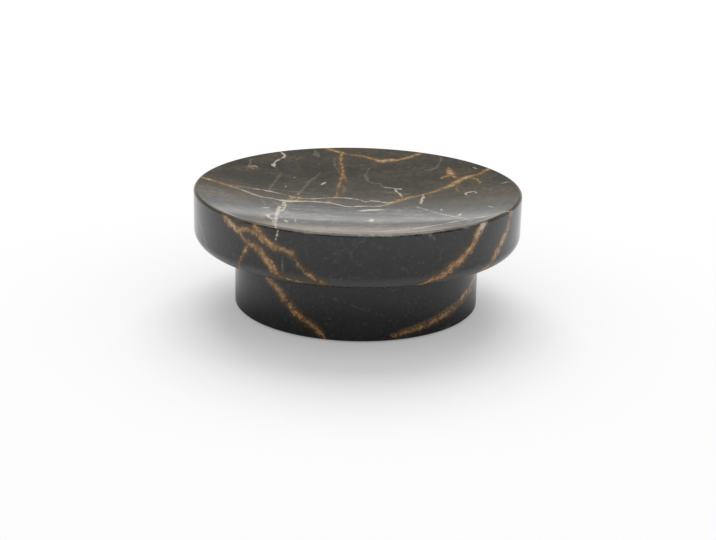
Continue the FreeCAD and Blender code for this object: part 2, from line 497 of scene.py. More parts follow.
# %% Draw the bowl's smoke
BOWL_VEINS["smoke"] = {
    "upper arc": [(-45, 9.5, 0.4), (-38, 11, 0.6), (-30, 13, 0.7), (-20, 13.4, 0.7), (-10, 12, 0.5)],
    "left thin line": [
        (-29.4, 31, 0.5), (-30.3, 26.5, 0.9), (-31.3, 22.5, 0.9), (-32, 18.5, 0.8), (-32.5, 14.5, 0.8),
        (-33.2, 11.5, 1.3), (-34, 8.8, 0.9),
    ],
    "middle thin line": [
        (-14.6, 35.5, 0.5), (-16.3, 31, 0.9), (-18, 27, 0.9), (-19.3, 23, 0.8), (-20.3, 19, 0.8),
        (-21.2, 15, 0.9), (-22.2, 11.5, 0.9),
    ],
    "left strand of the branch": [
        (-9.7, 49, 0.4), (-9.6, 45, 0.7), (-9, 41.5, 0.8), (-7.8, 38.5, 0.7), (-7.5, 35.5, 0.4),
    ],
    "beside the branch": [(-5.5, 15, 0.5), (-5.3, 19, 0.9), (-5.6, 24, 0.5)],
    "left fleck, upright": [(-42.1, 39, 0.6), (-41.9, 36, 1), (-41.8, 33, 1.2), (-42.2, 29.5, 0.7)],
    "worm, head": [(4.7, 41, 0.6), (3.6, 38.5, 0.9), (3, 35.5, 1), (3.2, 32, 1.1), (3.6, 29.5, 1.3)],
    "worm, body": [
        (3.4, 29.6, 1), (4.6, 27.8, 1.1), (6.3, 27, 1.1), (8, 26.5, 1.2), (9, 24.8, 1.1),
        (10.2, 22.6, 0.9), (12.2, 22.2, 1),
    ],
    "wavy line": [
        (19.6, 40.8, 0.5), (20.8, 38.4, 0.8), (22.2, 40.6, 0.7), (23.4, 38.6, 1), (25.2, 38, 1),
        (27.2, 36.8, 1.1), (29, 37.6, 1.1), (30.6, 39.8, 1), (32, 43, 0.9), (32.4, 47, 0.9),
    ],
    "scribble": [
        (-27.2, 48, 0.5), (-26.3, 44.8, 0.8), (-25.3, 47.4, 0.8), (-24.4, 44.6, 0.8), (-23, 48.6, 0.5),
    ],
    "pale cloud at the back": [(-17.6, 53.6, 1), (-17, 51.4, 2.6), (-16.4, 48.6, 1)],
    "pale diagonal": [
        (20.5, 0.5, 0.6), (23, -2.8, 1.6), (26, -7, 1.8), (29.5, -12.4, 1.8), (33, -18, 2), (36, -22, 2),
        (39, -26, 1.4),
    ],
    "left hair": [(-35.2, 0.5, 0.5), (-34.6, -2.5, 0.9), (-33.6, -6, 0.9), (-33.2, -9, 0.5)],
    "haze beside the run": [
        (-35, -9, 0.6), (-32.4, -12, 2), (-31.4, -18, 3), (-32.6, -24, 2.6), (-33, -30, 0.8),
    ],
    "haze before the junction": [(-31, -1, 0.6), (-28.6, -4, 2.4), (-26.4, -10, 2.8), (-24.6, -16, 1)],
    "streak along the right rim": [
        (17, -55.4, 0.6), (25, -52, 1.3), (33, -47.2, 1.6), (40.6, -40.8, 1.5), (46.8, -33.4, 1.3),
        (51.6, -25.4, 0.9), (54.4, -18.6, 0.5),
    ],
    "line along the front rim, left": [
        (-36, -30, 0.4), (-28, -34.6, 0.9), (-19.2, -38.5, 1), (-9, -39.8, 0.9), (2, -39.4, 0.6),
    ],
    "haze behind the stub": [(10, 18, 0.8), (13, 17, 2), (16.4, 15.6, 2), (19, 14.6, 0.8)],
}
tell("bowl", BOWL_VEINS, "smoke")

# %% [markdown]
# Flecks are short bright grains. They are drawn like veins, because each one has its own shape.

# %% Draw the bowl's flecks
BOWL_VEINS["fleck"] = {
    "bright bar": [(0.6, -4.1, 1.4), (3, -3.5, 2.9), (6, -2.8, 2.6), (9.4, -2.4, 1.4)],
    "bright drop": [(5.2, -14.8, 0.6), (5, -17.5, 2.4), (4.8, -20.4, 0.6)],
    "back fleck": [(-14.2, 23, 0.6), (-13.2, 24.8, 1.4), (-12.4, 26.4, 0.6)],
    "left blot": [(-35.6, -13.6, 0.4), (-33.6, -12, 1.3), (-31.4, -9.6, 0.4)],
    "front blot": [(-25.2, -25.4, 0.4), (-24.6, -27.4, 1.6), (-24, -29.4, 0.4)],
    "front long fleck": [(-21.7, -21.8, 0.3), (-21.4, -25, 0.8), (-21.1, -28.2, 0.3)],
    "right fleck": [(29.9, -5, 0.3), (30, -6.6, 0.8), (30.2, -8.2, 0.3)],
    "right drop": [(36.6, -15.2, 0.4), (36.1, -17, 1.4), (35.7, -18.6, 0.4)],
    "far right fleck": [(46.6, -11.6, 0.3), (47.8, -13.4, 0.7), (48.8, -14.8, 0.3)],
    "small fleck by the line": [(-24.5, 27.6, 0.2), (-24.2, 29, 0.5), (-23.8, 30.2, 0.2)],
    "small fleck on the left": [(-27.2, 16.6, 0.1), (-27, 18, 0.3), (-26.8, 19.4, 0.1)],
    "rim fleck on the right": [(43.8, 34.6, 0.4), (45, 33.2, 1.1), (46.2, 31.8, 0.4)],
    "grain near the right rim": [(52.6, 13.6, 0.4), (54.4, 13.4, 0.9), (56.2, 13.2, 0.4)],
    "grain, first of three": [(40, 9.3, 0.4), (41.5, 9.6, 0.9), (43, 9.9, 0.4)],
    "grain, second of three": [(43.1, 9.6, 0.4), (43.4, 8.4, 0.9), (43.7, 7.2, 0.4)],
    "grain, third of three": [(39.5, 9.6, 0.3), (39.7, 8.4, 0.8), (39.9, 7.2, 0.3)],
}
tell("bowl", BOWL_VEINS, "fleck")

# %% [markdown]
# The walls carry the boldest veins. On the left they split into a net, and on the right one thick vein
# leans down to the lower edge. Here a point is a bearing in degrees and a level, with 0 degrees at the
# front.

# %% Draw the veins on the dish's front
DISH_FRONT_VEINS = {}

DISH_FRONT_VEINS["gold"] = {
    "net, upper strand": [
        (-47.5, 43, 3), (-45.6, 42, 2.6), (-43.8, 41, 2.5), (-42, 40.3, 2.5), (-40, 40.4, 2.4),
        (-38, 40.8, 2.2), (-36, 41, 2), (-34.2, 40.6, 1.8), (-32.4, 39.6, 1.7), (-30.6, 38.4, 2),
    ],
    "net, long strand": [
        (-34.2, 43.2, 2.4), (-32.8, 41.9, 2.3), (-31, 40, 2), (-29.2, 38.5, 2.4), (-27.4, 37.5, 2.3),
        (-25, 36.9, 2.3), (-22.4, 36.5, 1.8), (-20.6, 35.9, 1.7), (-19.2, 34.5, 1.3), (-17.8, 32.4, 1.1),
        (-15.8, 30.3, 1.1), (-13.2, 28.3, 1.3), (-10.4, 26.9, 1.1), (-7.5, 26, 0.8),
    ],
    "net, lower strand": [
        (-40.2, 40.4, 1.5), (-39.5, 38.6, 1.5), (-38.2, 37.2, 1.9), (-36.2, 36.4, 2.1), (-34, 35.8, 2.2),
        (-32, 34.8, 2.6), (-30.6, 33.2, 2.8), (-29.2, 31.2, 2.8), (-27.4, 29.2, 2.6), (-25.2, 27.6, 2),
        (-22.6, 26.7, 1.2), (-18, 26.2, 0.8), (-12, 25.8, 0.6), (-8, 25.5, 0.5),
    ],
    "net, parallel strand": [
        (-29.6, 33.2, 0.5), (-28.4, 32, 0.9), (-27.2, 30.6, 0.9), (-25.6, 29.2, 0.5),
    ],
    "net, side branch": [
        (-36.4, 36.2, 0.9), (-37.6, 34.4, 1), (-39, 32, 0.9), (-40.2, 29.6, 0.6), (-41.6, 26.8, 0.5),
        (-42.6, 24.2, 0.4),
    ],
    "right thick vein": [
        (46, 44.5, 2.8), (44, 42.6, 3), (41.7, 39.4, 2.8), (40, 36.9, 2.6), (38.2, 34.6, 2.9),
        (35, 32.4, 3), (31.6, 30.2, 3), (28.4, 28.2, 2.8), (24.8, 26.6, 2.2), (21.8, 25.7, 1.5),
        (19.6, 25.2, 0.7),
    ],
    "right thin vein": [
        (61, 44, 1.5), (60.6, 41, 2.2), (59.4, 38.2, 2.7), (57.2, 35.4, 2.7), (54.6, 33, 2.7),
        (52.2, 30.6, 2.7), (50.2, 28.2, 2.5), (47.6, 26.4, 2), (44, 25.2, 1.1),
    ],
    "start of the right thin vein": [(61.8, 44.5, 2.8), (61, 42, 2.2), (59.8, 39, 1.2)],
}
DISH_FRONT_VEINS["cream"] = {
    "run over the rim": [(-25.2, 43, 0.6), (-25.6, 41.5, 0.8), (-26.2, 39.6, 0.4)],
    "head of the right thick vein": [(45, 43.6, 1.6), (44.2, 42.6, 2.6), (43.4, 41.8, 1.2)],
}
DISH_FRONT_VEINS["smoke"] = {
    "far left vein": [
        (-70.5, 43, 0.9), (-68.6, 39.4, 1.2), (-66.4, 36.4, 1.2), (-63.4, 33.2, 1.1), (-60.4, 30, 1),
        (-57.6, 27, 0.8), (-55, 24.6, 0.5),
    ],
    "upright hair": [(-23.8, 34, 0.4), (-23.6, 31.4, 0.7), (-23.5, 28.8, 0.4)],
    "haze over the rim": [(22.4, 44, 1), (24, 42.6, 1.4), (25.4, 41, 0.5)],
}
for tone in DISH_FRONT_VEINS:
    tell("dish, front", DISH_FRONT_VEINS, tone)

# %% [markdown]
# The back isn't in view, so its veins are drawn in the same way: they take up the ends that leave the
# bowl over the rim. Bearings of the back lists have 0 degrees at the back.

# %% Draw the veins on the dish's back
DISH_BACK_VEINS = {}

DISH_BACK_VEINS["gold"] = {
    "end of the long vein": [
        (82, 44, 1.8), (80, 41, 1.7), (76, 37, 1.8), (71, 33, 1.6), (66, 29, 1.4), (60, 26, 1.1),
        (54, 24.6, 0.6),
    ],
    "swag between the back vein's ends": [
        (14, 44, 1.6), (13, 41.4, 1.6), (10, 38, 1.4), (4, 35, 1.8), (-3, 33.4, 2), (-10, 33.6, 1.6),
        (-16, 36.2, 1.5), (-21, 39.6, 1.4), (-25.5, 43.8, 1.5),
    ],
    "swag, first branch": [
        (2, 34.4, 1.2), (5, 31.6, 1.1), (10, 29.2, 1), (15, 27, 1.1), (19, 25.2, 0.9), (22, 23.8, 0.6),
    ],
    "swag, second branch": [
        (-19, 38.4, 0.8), (-27, 35.8, 0.9), (-33, 35, 0.7), (-39, 32, 0.8), (-42, 28, 0.5),
    ],
    "end of the patch's vein": [
        (-57.5, 44, 1.6), (-59, 41.6, 1.7), (-62.4, 38.4, 2), (-65, 35, 1.8), (-66, 31.6, 1.6),
        (-69, 28.4, 1.5), (-74, 25.8, 1), (-79, 24.4, 0.5),
    ],
}
DISH_BACK_VEINS["smoke"] = {
    "right hair": [(40, 43.6, 0.8), (44, 39.4, 0.9), (46, 35, 0.8), (51, 30.4, 0.7), (53, 26, 0.5)],
    "left hair": [(-40, 43, 0.7), (-37, 39.6, 0.8), (-38, 35.6, 0.7), (-43, 32, 0.6)],
}
for tone in DISH_BACK_VEINS:
    tell("dish, back", DISH_BACK_VEINS, tone)

# %% [markdown]
# Both stones come from one block, so the dish's bold veins go on down the pedestal. The hair across its
# front has widths below zero: it never becomes a full line, and shows only where the ragged noise lifts
# it. The sole is level, so its points are places again.

# %% Draw the veins of the pedestal
PEDESTAL_FRONT_VEINS = {}

PEDESTAL_FRONT_VEINS["gold"] = {
    "left vein": [
        (-49, 25, 1.9), (-46.4, 22, 2.3), (-43.2, 19.4, 2.5), (-39.2, 17.2, 2.9), (-35.2, 14.8, 2.9),
        (-31.6, 12.3, 2.6), (-28.4, 10, 2.5), (-25, 8.2, 2), (-21.2, 6.6, 1.9), (-18, 4.8, 1.9),
        (-15.4, 2.8, 1.8), (-13, 0, 1.7),
    ],
    "right vein": [
        (78, 17, 1.5), (72, 14.4, 1.8), (66, 12.4, 2), (60, 11, 1.8), (55, 9.4, 1.7), (50, 7.8, 2),
        (45, 6.6, 1.8), (38, 5.5, 1.8), (30, 4.3, 1.8), (23, 3.3, 1.4), (17, 2.2, 0.9),
    ],
    "right vein, second strand": [
        (70, 12.2, 0.6), (64, 10.2, 0.9), (58, 8.8, 0.9), (52, 7.2, 0.7), (47, 6, 0.4),
    ],
}
PEDESTAL_FRONT_VEINS["smoke"] = {
    "hair across the front": [
        (-19, 19.4, -0.6), (-12, 16.8, -0.4), (-5, 15, -0.5), (2, 13.2, -0.4), (9, 11, -0.4),
        (16, 9.8, -0.5), (24, 8.7, -0.6),
    ],
    "haze round the right vein": [
        (56, 10.4, 0.8), (46, 7.6, 2.6), (36, 5.6, 3), (26, 4.2, 2.4), (16, 2.6, 0.8),
    ],
}
PEDESTAL_BACK_VEINS = {}

PEDESTAL_BACK_VEINS["gold"] = {
    "right vein": [
        (60, 24, 1.2), (55, 20.6, 1.5), (48, 17.8, 1.6), (43, 13.6, 1.9), (38, 9.4, 1.7), (30, 6.4, 1.6),
        (22, 4.2, 1.4), (12, 0, 1.2),
    ],
    "left vein": [
        (-22, 24.4, 1), (-27, 20, 1.2), (-30, 16, 1), (-36, 12.4, 1.2), (-44, 9.6, 1.4), (-52, 5.4, 1.3),
        (-58, 0, 1),
    ],
}
PEDESTAL_BACK_VEINS["smoke"] = {
    "hair across the back": [
        (44, 13, 0.5), (34, 13.6, 0.8), (24, 11.6, 0.7), (12, 12.4, 0.6), (2, 10.4, 0.4),
    ],
}
SOLE_VEINS = {}

SOLE_VEINS["gold"] = {
    "vein across the sole": [
        (-40, -30, 1.2), (-26, -17, 1.4), (-10, -8, 1.8), (6, -4, 1.3), (20, 6, 1.5), (31, 16, 1.3),
        (42, 20, 1.2),
    ],
    "branch on the sole": [(-12, 42, 1), (-9, 28, 1.2), (-4, 14, 0.9), (2, 2, 1), (5, -6, 0.6)],
}
SOLE_VEINS["smoke"] = {
    "hair on the sole": [
        (12, 40, 0.5), (18, 28, 0.8), (17, 18, 0.6), (24, 6, 0.7), (30, -8, 0.6), (34, -26, 0.5),
    ],
}
for tone in PEDESTAL_FRONT_VEINS:
    tell("pedestal, front", PEDESTAL_FRONT_VEINS, tone)
    tell("pedestal, back", PEDESTAL_BACK_VEINS, tone)
    tell("pedestal, sole", SOLE_VEINS, tone)

# %% [markdown]
# ## From traced points to the surface
# The routes were traced over the photograph on a first model, with a deeper bowl and a nearer camera.
# Both were mended later, so each point is carried over through the picture: the tracing camera tells
# where the point was seen, and the real camera looks the same way and finds the stone there. So every
# vein still covers its own spot of the photograph. The walls' bearings are unrolled into lengths. The
# back's lists were never traced, so they are only unrolled, and the sole's are used as they are drawn.

# %% Carry the routes over
TRACING_STAND = camera_stand(
    elevation=math.radians(19.47), roll=math.radians(1.276), distance=509.2, aim=Vector((0.66, 0.0, 10.9))
)
TRACING_LENS = 69.19
TRACING_BOWL_FLOOR = 35.0
TRACING_BOWL_RADIUS = 230.4


def line_of_sight(traced):
    """The way in which the camera sees what the tracing camera saw at a point."""
    seen = TRACING_STAND.inverted() @ traced
    zoom = TRACING_LENS / CAMERA_LENS / -seen.z
    return (stand.to_3x3() @ Vector((seen.x * zoom, seen.y * zoom, -1.0))).normalized()


def onto_the_bowl(points):
    """Traced places of the bowl, as places on the real bowl."""
    laid = []
    for x, y, width in points:
        drop = math.sqrt(TRACING_BOWL_RADIUS**2 - x**2 - y**2)
        sight = line_of_sight(Vector((x, y, TRACING_BOWL_FLOOR + TRACING_BOWL_RADIUS - drop)))
        start = stand.translation - Vector((0, 0, bowl_centre[1]))
        towards = start.dot(sight)
        reach = math.sqrt(towards**2 - start.length_squared + BOWL_RADIUS**2) - towards
        place = stand.translation + sight * reach
        laid.append((place.x, place.y, width))
    return laid


def onto_the_wall(radius):
    """A function that lays traced bearings and levels on a wall of that radius, unrolled."""

    def lay(points):
        laid = []
        for bearing, level, width in points:
            turn = math.radians(bearing)
            sight = line_of_sight(Vector((radius * math.sin(turn), -radius * math.cos(turn), level)))
            flat, start = sight.xy, stand.translation.xy
            towards = start.dot(flat) / flat.length_squared
            gap = towards**2 - (start.length_squared - radius**2) / flat.length_squared
            place = stand.translation - sight * (towards + math.sqrt(max(gap, 0.0)))
            laid.append((radius * math.atan2(place.x, -place.y), place.z, width))
        return laid

    return lay


def unrolled(radius):
    """A function that turns bearings into lengths along a wall of that radius."""
    return lambda points: [(math.radians(bearing) * radius, level, width) for bearing, level, width in points]


def as_drawn(points):
    """Points that already are places on their surface."""
    return points


middle = onto_the_bowl([(0, 0, 1)])[0]
print(f"the middle of the traced bowl lies at x = {middle[0]:.1f}, y = {middle[1]:.1f} mm on the real one")

# %% [markdown]
# ## Veins in nodes
# Two dot products measure a place along a route's chord and across it, and a Float Curve gives the
# route's own distance from the chord. A second curve gives the width. What is left is the depth inside
# the vein: above zero is vein, below zero is ground. A Mapping node could turn the place as well, but it
# makes the renderer hold every turned place at once, and a stone with this many veins then outgrows the
# room that a shader has.

# %% Measure the depth inside a vein
ROUTE_MARGIN = 1.0


def set_curve(node, heights):
    """Gives a Float Curve node the points (x, y), smooth through each of them."""
    curve = node.mapping.curves[0]
    curve.points[0].location = heights[0]
    curve.points[-1].location = heights[-1]
    for height in heights[1:-1]:
        curve.points.new(*height)
    for point in curve.points:
        point.handle_type = "AUTO_CLAMPED"
    node.mapping.update()


def measure(bench, place, direction, origin):
    """How far a place lies from an origin along a direction."""
    reach = bench.vector("DOT_PRODUCT", place, (*direction, 0), result="Value")
    return bench.math("SUBTRACT", reach, origin.dot(direction))


def lay_straight(bench, place, points):
    """The points' shares of the chord, then a place's share and its way past the ends and to the left."""
    start, end = Vector(points[0][:2]), Vector(points[-1][:2])
    length = (end - start).length
    along = (end - start) / length
    across = Vector((-along.y, along.x))
    shares = [(Vector(point[:2]) - start).dot(along) / length for point in points]
    offsets = [(Vector(point[:2]) - start).dot(across) for point in points]
    lowest = min(offsets)
    span = max(offsets) - lowest + ROUTE_MARGIN
    reach = measure(bench, place, along, start)
    share = bench.held(bench.math("DIVIDE", reach, length))
    route = bench.node("ShaderNodeFloatCurve", {"Value": share})
    set_curve(route, [(s, (offset - lowest) / span) for s, offset in zip(shares, offsets)])
    height = measure(bench, place, across, start + across * lowest)
    left = bench.math("MULTIPLY_ADD", route.outputs["Value"], -span, height)
    past = bench.math("ABSOLUTE", bench.math("MULTIPLY_ADD", share, -length, reach))
    return shares, share, past, left


def vein_depth(bench, place, points):
    """Depth inside one vein, in millimetres: above zero in the vein, below zero outside it."""
    shares, share, past, left = lay_straight(bench, place, points)
    widest = max(point[2] for point in points)
    width = bench.node("ShaderNodeFloatCurve", {"Value": share})
    set_curve(width, [(s, point[2] / widest) for s, point in zip(shares, points)])
    away = bench.math("ADD", bench.math("ABSOLUTE", left), past)
    return bench.math("MULTIPLY_ADD", width.outputs["Value"], widest / 2, bench.math("MULTIPLY", away, -1.0))


run = onto_the_bowl(BOWL_VEINS["cream"]["run from the junction to the front"])
run_length = sum(math.dist(here[:2], there[:2]) for here, there in zip(run, run[1:]))
print(f"the run to the front is {run_length:.0f} mm long")

# %% [markdown]
# All the veins of one tone on one surface share a node group, which keeps the deepest of them. A surface
# without veins of a tone gets a depth far below zero.

# %% Gather veins into families
NO_VEIN = -100.0


def vein_family(name, routes):
    """A node group that takes a place and gives the depth inside the nearest vein of a family."""
    group = bpy.data.node_groups.new(name, "ShaderNodeTree")
    group.interface.new_socket("Place", in_out="INPUT", socket_type="NodeSocketVector")
    group.interface.new_socket("Depth", in_out="OUTPUT", socket_type="NodeSocketFloat")
    bench = Bench(group)
    place = bench.node("NodeGroupInput").outputs["Place"]
    depth = NO_VEIN
    for points in routes:
        depth = bench.math("MAXIMUM", vein_depth(bench, place, points), depth)
    bench.node("NodeGroupOutput", {"Depth": depth})
    print(f"{name}: {len(routes)} routes, {len(group.nodes)} nodes")
    return group


def family_depth(bench, name, place, routes, fit):
    """The depth inside a family of veins, or far outside where the surface has none of that tone."""
    if not routes:
        return NO_VEIN
    group = vein_family(name, [fit(points) for points in routes.values()])
    return bench.node("ShaderNodeGroup", {"Place": place}, node_tree=group).outputs["Depth"]


# %% [markdown]
# ## The ground of the stone
# Between the veins the stone is nearly black. What the eye reads as charcoal is mostly the polish
# mirroring a white table, so the colour itself stays dark. It still isn't flat: it has slow clouds of
# brown, a fine grey mottle, pale specks of shell and healed hair cracks. Noise makes each of them,
# because nobody could tell one speck from the next. Its two limits say where a colour starts and where it
# is full.

# %% Mix the ground of the walls
CHARCOAL = (0.0035, 0.0036, 0.0040, 1)
BROWN_BLACK = (0.0085, 0.0072, 0.0060, 1)
MOTTLE_GREY = (0.048, 0.0475, 0.0465, 1)
NOISE_MIDDLE = 0.5
CLOUD_SIZE, CLOUD_LIMITS = 22.0, (0.42, 0.70)
MOTTLE_SIZE, MOTTLE_LIMITS = 1.5, (0.52, 0.72)
SPECK_SPACING, SPECK_COVER = 1.7, 0.4
SPECK_EDGE, SPECK_CHOICE = (0.06, 0.22), (0.72, 0.95)
CRACK_SPACING, CRACK_COVER = 15.0, 0.25
CRACK_EDGE, CRACK_LIMITS = 0.012, (0.50, 0.66)


def millimetres(bench):
    """The piece's own coordinates, in millimetres."""
    return bench.scaled(bench.node("ShaderNodeTexCoord").outputs["Object"], 1 / MM)


def specks(bench, place):
    """Small pale grains, on some of the cells of a Voronoi pattern."""
    cells = bench.node("ShaderNodeTexVoronoi", {"Vector": place, "Scale": 1 / SPECK_SPACING})
    near = bench.fade(cells.outputs["Distance"], *SPECK_EDGE, 1.0, 0.0)
    chosen = bench.fade(bench.axes(cells.outputs["Color"])[0], *SPECK_CHOICE, 0.0, SPECK_COVER)
    return bench.math("MULTIPLY", near, chosen)


def hair_cracks(bench, place):
    """Thin healed cracks: the lines where a noise crosses its middle value, kept only here and there."""
    folds = bench.noise(place, CRACK_SPACING, detail=2.0, distortion=0.4)
    away = bench.math("ABSOLUTE", bench.math("SUBTRACT", folds, NOISE_MIDDLE))
    near = bench.fade(away, 0.0, CRACK_EDGE, 1.0, 0.0)
    kept = bench.fade(bench.noise(place, CRACK_SPACING * 0.6), *CRACK_LIMITS, 0.0, CRACK_COVER)
    return bench.math("MULTIPLY", near, kept)


def wall_ground(bench, place, mottle_cover):
    """Charcoal with brown clouds and a fine grey mottle."""
    clouds = bench.fade(bench.noise(place, CLOUD_SIZE, detail=3.0, distortion=0.6), *CLOUD_LIMITS)
    mottle = bench.noise(place, MOTTLE_SIZE, detail=4.0, roughness=0.7, distortion=0.5)
    mottle = bench.fade(mottle, *MOTTLE_LIMITS, 0.0, mottle_cover)
    return bench.blend(mottle, bench.blend(clouds, CHARCOAL, BROWN_BLACK), MOTTLE_GREY)


print(f"the charcoal reflects {CHARCOAL[1]:.2%} of green light, and the mottle {MOTTLE_GREY[1]:.1%}")

# %% [markdown]
# The bowl cuts into a lighter bed, olive and clouded behind and brown in front. Over the brown, fine stripes
# run along the rim: a painted reflection of the room's banded walls. Pale, dun and black beds lie beside the
# veins, drawn like veins, only much wider and with soft edges. In front the bowl holds a grey fragment of
# older rock with straight edges, which the veins run along. Its three edges are routes too, each with the
# fragment on its left. Streaks are noise in a squeezed place, which draws its lumps out.

# %% Mix the ground of the bowl
OLIVE_DARK = (0.022, 0.0195, 0.0155, 1)
OLIVE = (0.054, 0.044, 0.029, 1)
FRONT_BROWN = (0.050, 0.042, 0.032)
FRAGMENT_GREY = (0.092, 0.087, 0.078)
BOWL_CLOUD_SIZE, BOWL_CLOUD_LIMITS = 13.0, (0.36, 0.64)
FRONT_FULL, FRONT_FROM = -16.0, -6.0
STREAK_LIMITS = (0.36, 0.66)
# Stripes along the rim: a painted reflection of the room's banded walls, not streaks in the stone.
PAINTED_RIM_STRIPE_SIZE, PAINTED_RIM_STRIPE_SQUEEZE, PAINTED_RIM_STRIPE_SWING = 1.6, 0.05, (0.45, 1.6)
FRAGMENT_STREAK_SIZE, FRAGMENT_SQUEEZE, FRAGMENT_SWING = 3.2, (0.28, 1.0, 1.0), (0.25, 1.85)
WISP_SIZE, WISP_LIMITS, WISP_SWING = 2.2, (0.34, 0.70), (0.40, 1.80)
FRAGMENT_SOFTNESS = 1.2
FRAGMENT_EDGES = {
    "back": [(21.5, -0.6, 0), (10, -0.8, 0), (0, -1, 0), (-14, -0.6, 0), (-26, -0.3, 0)],
    "left": [(-25.6, 1, 0), (-26.4, -8, 0), (-27.4, -20, 0), (-27, -32, 0), (-25, -56, 0)],
    "right": [(50, -42, 0), (39, -26, 0), (29.5, -12.4, 0), (20.5, 0.5, 0)],
}
BED_SOFTNESS = 3.0
BED_COLOURS = {
    "pale": (0.098, 0.083, 0.062, 1),
    "dun": (0.080, 0.064, 0.043, 1),
    "black": (0.008, 0.0085, 0.009, 1),
}
BED_COVERS = {"pale": 0.8, "dun": 0.7, "black": 0.75}
BOWL_BEDS = {
    "pale": {"before the left vein": [(-62, -1, 12), (-54, -4, 13), (-47, -8, 10), (-40, -10, 6)]},
    "dun": {"beyond the right vein": [(30, 11, 2), (40, 8, 7), (48, 10, 10), (55, 6, 7)]},
    "black": {
        "behind the left vein": [(-50, 20, 4), (-38, 22, 13), (-27, 25, 6)],
        "before the right vein": [(21, 5, 4), (30, 6, 8), (39, 9, 4)],
    },
}


def way_out(bench, place):
    """Distance from the turning axis."""
    x, y, _ = bench.axes(place)
    return bench.vector("LENGTH", bench.place(x, y, 0.0), result="Value")


def fragment_share(bench, place):
    """One inside the grey fragment and zero outside."""
    share = 1.0
    for points in FRAGMENT_EDGES.values():
        left = lay_straight(bench, place, onto_the_bowl(points))[-1]
        inside = bench.fade(left, -FRAGMENT_SOFTNESS / 2, FRAGMENT_SOFTNESS / 2)
        share = bench.math("MULTIPLY", inside, share)
    return share


def bed_share(bench, place, tone):
    """How much of a bed shows at a place."""
    depth = family_depth(bench, "dish_bed_" + tone, place, BOWL_BEDS[tone], onto_the_bowl)
    return bench.fade(depth, -BED_SOFTNESS, BED_SOFTNESS, 0.0, BED_COVERS[tone])


def bowl_ground(bench, place, shivered):
    """Olive and clouded behind, browner in front, with beds and the streaked fragment set in it."""
    clouds = bench.noise(place, BOWL_CLOUD_SIZE, detail=4.0, roughness=0.6, distortion=0.8)
    colour = bench.blend(bench.fade(clouds, *BOWL_CLOUD_LIMITS), OLIVE_DARK, OLIVE)
    # Stripes along the rim in the brown front: a painted reflection of the room's banded walls.
    aside = bench.math("MULTIPLY", bench.axes(place)[0], PAINTED_RIM_STRIPE_SQUEEZE)
    along_rim = bench.place(aside, way_out(bench, place), 0.0)
    painted_rim_stripes = bench.noise(along_rim, PAINTED_RIM_STRIPE_SIZE, detail=4.0, roughness=0.7)
    painted_rim_stripes = bench.fade(painted_rim_stripes, *STREAK_LIMITS, *PAINTED_RIM_STRIPE_SWING)
    in_front = bench.fade(bench.axes(shivered)[1], FRONT_FULL, FRONT_FROM, 1.0, 0.0)
    colour = bench.blend(in_front, colour, bench.scaled(FRONT_BROWN, painted_rim_stripes))
    for tone, bed_colour in BED_COLOURS.items():
        colour = bench.blend(bed_share(bench, shivered, tone), colour, bed_colour)
    along_x = bench.vector("MULTIPLY", place, FRAGMENT_SQUEEZE)
    streaks = bench.noise(along_x, FRAGMENT_STREAK_SIZE, detail=5.0, roughness=0.7)
    streaks = bench.fade(streaks, *STREAK_LIMITS, *FRAGMENT_SWING)
    colour = bench.blend(fragment_share(bench, shivered), colour, bench.scaled(FRAGMENT_GREY, streaks))
    wisps = bench.noise(place, WISP_SIZE, detail=5.0, roughness=0.7, distortion=0.7)
    return bench.scaled(colour, bench.fade(wisps, *WISP_LIMITS, *WISP_SWING))


print(f"beds in the bowl: {sum(map(len, BOWL_BEDS.values()))}, edges of the fragment: {len(FRAGMENT_EDGES)}")

# %% [markdown]
# ## The marble
# The same recipe serves both stones, with their own lists of veins. First the place on the surface is
# found: seen from above for a level face, and unrolled for a wall. A little noise pushes it about, so
# that drawn lines get a natural shiver. Then each tone's veins give their depth at that place.

# %% Find the place on the stone
TONES = ("smoke", "gold", "cream", "fleck")
SLOW_SIZE, SLOW_PUSH = 5.0, 1.3
QUICK_SIZE, QUICK_PUSH = 1.1, 0.7


def wandering(bench, place):
    """A place pushed about a little by a slow noise and a quick one."""
    middle_colour = (NOISE_MIDDLE,) * 3
    slow = bench.noise(place, SLOW_SIZE, detail=2.0, result="Color")
    quick = bench.noise(place, QUICK_SIZE, detail=2.0, result="Color")
    slow_push = bench.scaled(bench.vector("SUBTRACT", slow, middle_colour), SLOW_PUSH)
    quick_push = bench.scaled(bench.vector("SUBTRACT", quick, middle_colour), QUICK_PUSH)
    return bench.vector("ADD", bench.vector("ADD", place, slow_push), quick_push)


def wall_places(bench, place, radius):
    """Two unrolled places on a wall: one counted from the front, and one from the back."""
    x, y, z = bench.axes(place)
    front = bench.math("ARCTAN2", x, bench.math("MULTIPLY", y, -1.0))
    back = bench.math("ARCTAN2", bench.math("MULTIPLY", x, -1.0), y)
    return [bench.place(bench.math("MULTIPLY", turn, radius), z, 0.0) for turn in (front, back)]


def vein_depths(bench, name, shivered, radius, on_level, level_fit, level_veins, front_veins, back_veins):
    """Depth inside each tone's veins, on the level face where on_level is 1 and on the wall elsewhere."""
    front, back = wall_places(bench, shivered, radius)
    wall_fit = onto_the_wall(radius)
    depths = {}
    for tone in TONES:
        level = family_depth(bench, f"{name}_level_{tone}", shivered, level_veins.get(tone), level_fit)
        fore = family_depth(bench, f"{name}_front_{tone}", front, front_veins.get(tone), wall_fit)
        aft = family_depth(bench, f"{name}_back_{tone}", back, back_veins.get(tone), unrolled(radius))
        depths[tone] = bench.pick(on_level, bench.math("MAXIMUM", fore, aft), level)
    return depths


print("tones, from the lowest layer up:", TONES)

# %% [markdown]
# ## Colour and polish
# A gold vein isn't one colour. Iron has stained the stone brown beside it, its borders are rust, and its
# middle is sand with grains of pale calcite, so its colour follows the depth and two noises, one for
# grains and one for longer stretches. The same noises make the edges of all veins ragged. Small islands
# of ground stay in the gold.

